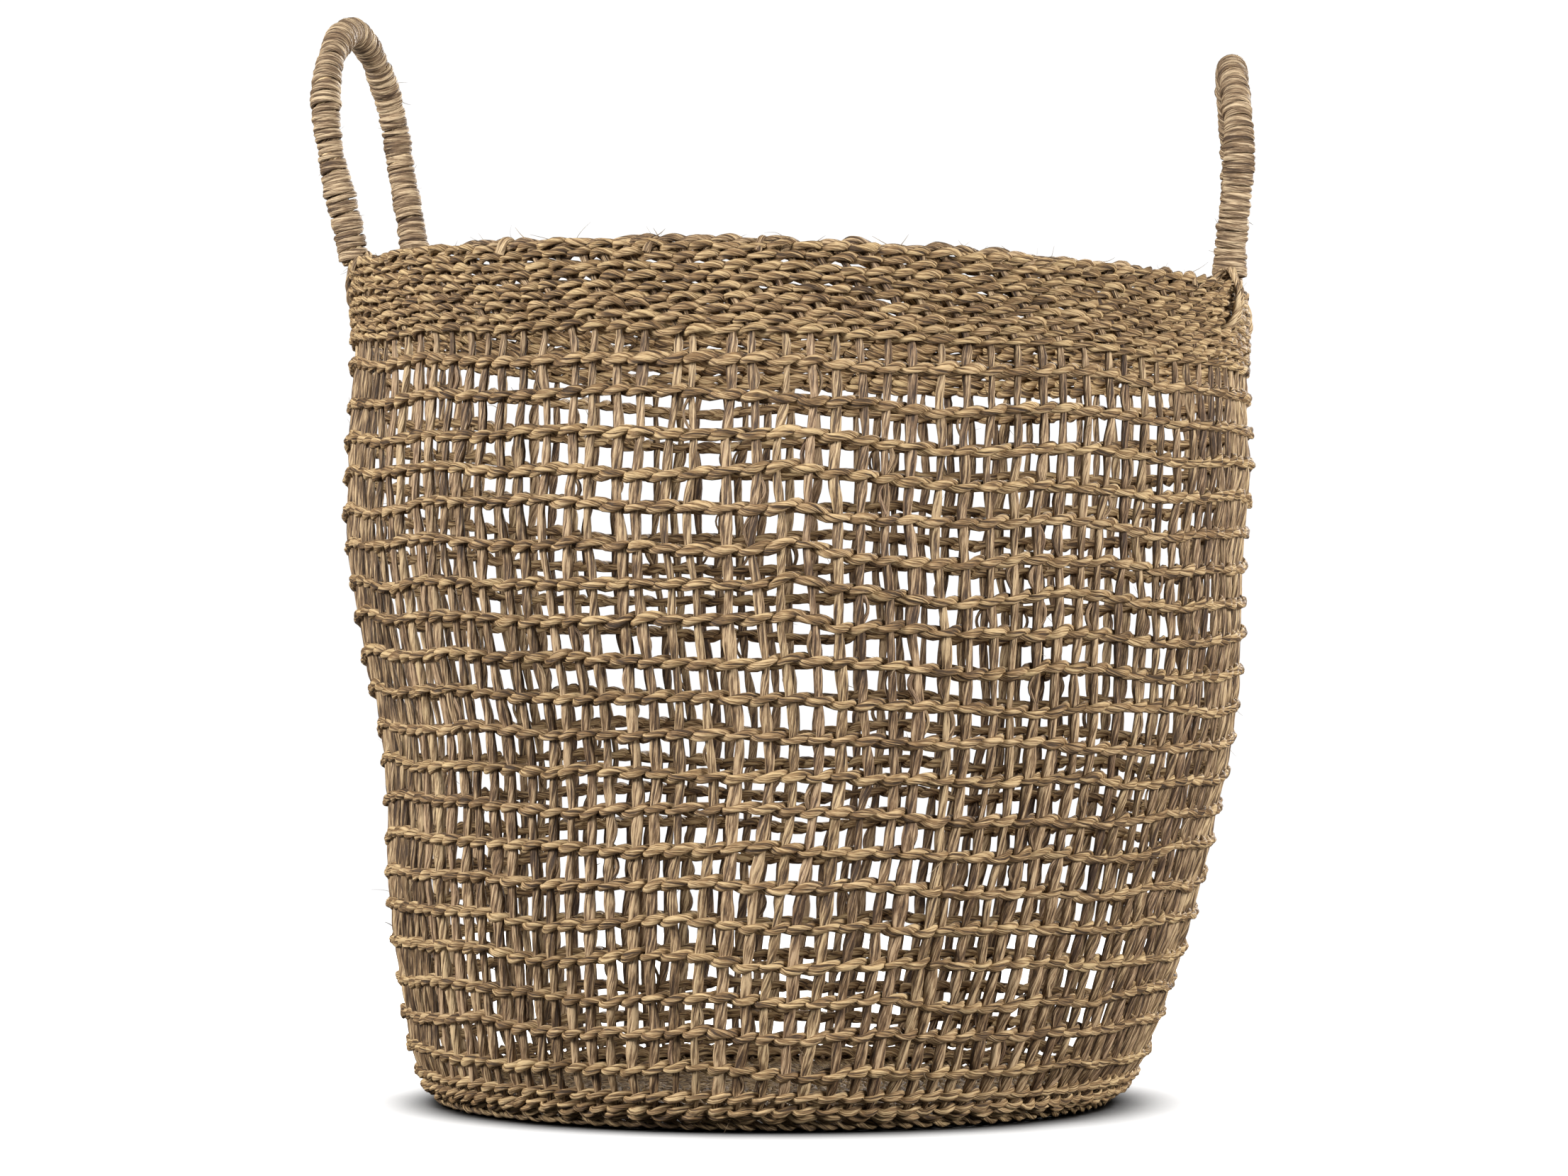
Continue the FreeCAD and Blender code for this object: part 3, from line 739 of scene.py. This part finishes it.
def wrap_coil(side):
    """Twine wound round the core from one foot to the other."""
    pitch, coil_radius = 2.7 * MM, 5.55 * MM
    thickness, breadth = 1.1 * MM, 1.6 * MM
    path = handle_path(side, WRAP_START, 1200)
    tangent, first, second = frames_along(path)
    steps = np.linalg.norm(np.diff(path, axis=0), axis=1)
    along = np.concatenate([[0], np.cumsum(steps)])
    whole = along[-1]
    turns = whole / pitch
    count = int(turns * 20)
    place = np.linspace(0, 1, count) * whole
    spin = 2 * math.pi * np.linspace(0, turns, count)
    spin = spin + 0.55 * smooth_noise(count, 26)
    centre, across, up, ahead = (
        np.stack([np.interp(place, along, column) for column in rows.T], 1)
        for rows in (path, first, second, tangent)
    )
    uneven = 1 + 0.04 * smooth_noise(count, 50) + 0.045 * smooth_noise(count, 12)
    ends = np.minimum(place, whole - place)
    flare = 1 + 0.13 * np.exp(-(ends / (20 * MM)) ** 2)
    out = np.cos(spin)[:, None] * across + np.sin(spin)[:, None] * up
    creep = 0.42 * MM * smooth_noise(count, 12)[:, None] * ahead
    points = centre + out * (coil_radius * uneven * flare)[:, None] + creep
    return Cord(points, out, breadth, thickness, 60 * MM, sides=8, lobes=0.12, hue=0.15, taper=3,
                warp=None)


def bend_at_hinge(piece):
    """Bakes a rope piece's placement into its mesh."""
    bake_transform(piece)


def make_handle(side):
    """Wrapped loop and its core. Gives back the coil of twine, for its fibres."""
    coil = wrap_coil(side)
    wrap = build(f"handle_{side}_wrap_twine", [coil], WRAP_MATERIAL, None,
                 [f"handle_{side}_wrap"])
    bend_at_hinge(wrap)
    path = handle_path(side, WRAP_START + 2 * MM, 160)
    _, first, _ = frames_along(path)
    core = Cord(path, first, 4.6 * MM, 4.6 * MM, 22 * MM, sides=12, lobes=0.08, warp=None)
    rope = build(f"handle_{side}_core_rope", [core], CORE_MATERIAL, None,
                 [f"handle_{side}_core"])
    bend_at_hinge(rope)
    return coil


def lashing_cord(theta, slant):
    """A cord from a handle's foot down the outside of the band, through it and up inside."""
    top, low = RIM_HEIGHT + 7 * MM, RIM_HEIGHT - 20 * MM
    outside, inside = 7.2 * MM, -6.6 * MM
    t = np.linspace(0, 1, 46)
    # distance from the wall's line and height, in order along the cord
    corners = np.array([
        [2.0 * MM, top], [4.5 * MM, top - 4 * MM], [outside, RIM_HEIGHT - 3 * MM],
        [outside + 0.6 * MM, RIM_HEIGHT - 10 * MM], [outside - 0.5 * MM, low + 3 * MM],
        [3.0 * MM, low - 0.5 * MM], [-3.0 * MM, low - 0.5 * MM], [inside, low + 4 * MM],
        [inside - 0.5 * MM, RIM_HEIGHT - 8 * MM], [-3.5 * MM, RIM_HEIGHT + 3 * MM],
        [0.0, top - 1 * MM],
    ])
    knots = np.linspace(0, 1, len(corners))
    fine = np.linspace(0, 1, 400)
    rounding = 20
    kernel = np.ones(2 * rounding + 1) / (2 * rounding + 1)
    smooth = []
    for column in corners.T:
        line = np.interp(fine, knots, column)
        padded = np.pad(line, rounding, mode="edge")
        smooth.append(np.convolve(padded, kernel, "valid"))
    out = np.interp(t, fine, smooth[0])
    height = np.interp(t, fine, smooth[1])
    waver = 0.25 * MM * smooth_noise(len(t), 10) / USUAL_RADIUS
    spread = theta + slant * np.sin(math.pi * t) ** 2 + waver
    radius = WALL_RADII[-1] + out
    points = np.stack([radius * np.cos(spread), radius * np.sin(spread), height], 1)
    facing = np.stack([np.cos(spread), np.sin(spread), 0 * spread], 1)
    return Cord(points, facing, 1.7 * MM, 1.35 * MM, 16 * MM, sides=9, lobes=0.15,
                tone=RNG.normal(0.4, 0.6), hue=0.1)


def make_lashings(side):
    """Each foot's pair of cords. Those of the right handle slant down towards the front."""
    for end in ("front", "back"):
        node = f"handle_{side}_lashing_{end}"
        low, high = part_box(node)
        theta = math.atan2((low.y + high.y) / 2, (low.x + high.x) / 2)
        slant = 0.0
        if side == "right":
            theta -= math.radians(2.4)
            slant = -math.radians(2.8)
        half_gap = 1.9 * MM / USUAL_RADIUS
        cords = [lashing_cord(theta + offset, slant) for offset in (-half_gap, half_gap)]
        build(f"{node}_cords", cords, CORE_MATERIAL, "basket", [node])


# ---------------------------------------------------------------- loose fibres

def fibre_from(cord, length_range):
    """A fine hair that leaves a cord's surface and curls away."""
    at = RNG.integers(2, cord.rings - 2)
    angle = RNG.uniform(0, 2 * math.pi)
    out = cord.first[at] * math.cos(angle) + cord.second[at] * math.sin(angle)
    along = cord.tangent[at] * RNG.choice([-1, 1])
    start = cord.path[at] + out * cord.size * 0.9
    heading = along * RNG.uniform(0.4, 1.2) + out * RNG.uniform(0.3, 1.0)
    heading = heading + RNG.normal(0, 0.25, 3)
    heading /= np.linalg.norm(heading)
    bend = RNG.normal(0, 0.5, 3)
    t = np.linspace(0, 1, 6)[:, None]
    length = RNG.uniform(*length_range)
    points = start + (heading * t + bend * t ** 2 * 0.45) * length
    facing = np.tile(np.cross(heading, [0.3, 0.4, 0.86]), (6, 1))
    thick = RNG.uniform(0.10, 0.24) * MM * np.linspace(1, 0.25, 6)
    return Cord(points, facing, thick, thick * 0.6, 30 * MM, sides=4, lobes=0.0,
                tone=RNG.uniform(0.5, 2.5), warp=None)


def make_fibres():
    """Stray hairs of the basket body."""
    hosts = RNG.choice(len(HOSTS), 900)
    cords = [fibre_from(HOSTS[i], (2.0 * MM, 8 * MM)) for i in hosts]
    build("stray_fibres_basket", cords, WRAP_MATERIAL, "basket", [])


def make_handle_fibres(side, coil):
    """Stray hairs of one handle, grown from its coil of twine."""
    cords = [fibre_from(coil, (1.5 * MM, 5 * MM)) for _ in range(70)]
    piece = build(f"stray_fibres_handle_{side}", cords, WRAP_MATERIAL, None, [])
    bend_at_hinge(piece)


# ---------------------------------------------------------------- stage, light, camera

def camera_switch(tree, seen, otherwise):
    """A value socket that is one number for rays from the camera and another for the rest."""
    path = tree.nodes.new("ShaderNodeLightPath")
    scale = tree.nodes.new("ShaderNodeMath")
    scale.operation = "MULTIPLY_ADD"
    tree.links.new(path.outputs["Is Camera Ray"], scale.inputs[0])
    scale.inputs[1].default_value = seen - otherwise
    scale.inputs[2].default_value = otherwise
    return scale.outputs[0]


def make_floor():
    """Pale matt floor with a painted contact shadow close under the basket.

    It throws little light back, so that the basket's foot stays in shade.
    """
    mesh = bpy.data.meshes.new("floor")
    half = 1.3
    corners = [(-half, -half, 0), (half, -half, 0), (half, half, 0), (-half, half, 0)]
    mesh.from_pydata(corners, [], [(0, 1, 2, 3)])
    floor = bpy.data.objects.new("floor", mesh)
    bpy.context.scene.collection.objects.link(floor)
    material = bpy.data.materials.new("floor_white")
    material.use_nodes = True
    tree = material.node_tree
    shader = tree.nodes["Principled BSDF"]
    # Ambient occlusion darkens the floor's colour close to the basket: a painted contact shadow.
    painted_contact_shadow = tree.nodes.new("ShaderNodeAmbientOcclusion")
    painted_contact_shadow.inputs["Distance"].default_value = 37 * MM
    shade = tree.nodes.new("ShaderNodeMath")
    shade.operation = "MULTIPLY"
    tree.links.new(camera_switch(tree, 0.95, 0.13), shade.inputs[0])
    tree.links.new(painted_contact_shadow.outputs["AO"], shade.inputs[1])
    tree.links.new(shade.outputs[0], shader.inputs["Base Color"])
    shader.inputs["Roughness"].default_value = 1.0
    shader.inputs["Specular IOR Level"].default_value = 0.0
    mesh.materials.append(material)
    return floor


def add_light(name, place, target, size, power):
    """A soft square white lamp aimed at a point."""
    data = bpy.data.lights.new(name, "AREA")
    data.shape = "SQUARE"
    data.size = size
    data.energy = power
    lamp = bpy.data.objects.new(name, data)
    lamp.location = place
    lamp.rotation_mode = "QUATERNION"
    lamp.rotation_quaternion = (Vector(target) - Vector(place)).to_track_quat("-Z", "Y")
    bpy.context.scene.collection.objects.link(lamp)
    return lamp


def make_light(floor):
    """Lamps round the basket that miss the floor, and a softbox for the floor alone."""
    world = bpy.data.worlds.new("studio")
    bpy.context.scene.world = world
    world.use_nodes = True
    background = world.node_tree.nodes["Background"]
    background.inputs[0].default_value = (1, 1, 1, 1)
    world.node_tree.links.new(camera_switch(world.node_tree, 1.02, 0.14), background.inputs[1])
    middle = (0, 0, 0.2)
    key = add_light("key", (-1.85, -1.6, 1.1), middle, 0.9, 112)
    fill = add_light("fill", (2.15, -1.05, 1.0), middle, 0.9, 97)
    back = add_light("back", (0.5, 2.3, 1.0), middle, 1.3, 76)
    add_light("top", (-0.1, -0.2, 2.0), middle, 1.4, 3)
    softbox = add_light("floor_softbox", (0, 0, 1.7), (0, 0, 0), 4.0, 180)
    only_floor = bpy.data.collections.new("floor_only")
    only_floor.objects.link(floor)
    softbox.light_linking.receiver_collection = only_floor
    all_but_floor = bpy.data.collections.new("all_but_floor")
    all_but_floor.objects.link(floor)
    for lamp in (key, fill, back):
        lamp.light_linking.receiver_collection = all_but_floor
    all_but_floor.collection_objects[0].light_linking.link_state = "EXCLUDE"


def make_camera():
    """Level with the middle of the basket, two metres away, a little to its right."""
    camera_data = bpy.data.cameras.new("camera")
    camera = bpy.data.objects.new("camera", camera_data)
    bpy.context.scene.collection.objects.link(camera)
    azimuth = math.radians(10)
    distance, height = 2.0, 0.184
    camera.location = (distance * math.sin(azimuth), -distance * math.cos(azimuth), height)
    camera_data.sensor_width = 36
    camera_data.lens = 103.6
    look_up, look_left = math.radians(1.22), math.radians(0.22)
    camera.rotation_euler = (math.pi / 2 + look_up, 0, azimuth + look_left)
    bpy.context.scene.camera = camera


def main():
    """Builds everything, in an order that keeps the random draws the same."""
    make_stakes()
    make_rows()
    make_rim()
    make_base()
    coils = {side: make_handle(side) for side in ("left", "right")}
    for side in ("left", "right"):
        make_lashings(side)
    make_fibres()
    for side, coil in coils.items():
        make_handle_fibres(side, coil)
    floor = make_floor()
    make_light(floor)
    make_camera()
    bpy.context.scene.view_settings.view_transform = "Standard"


main()
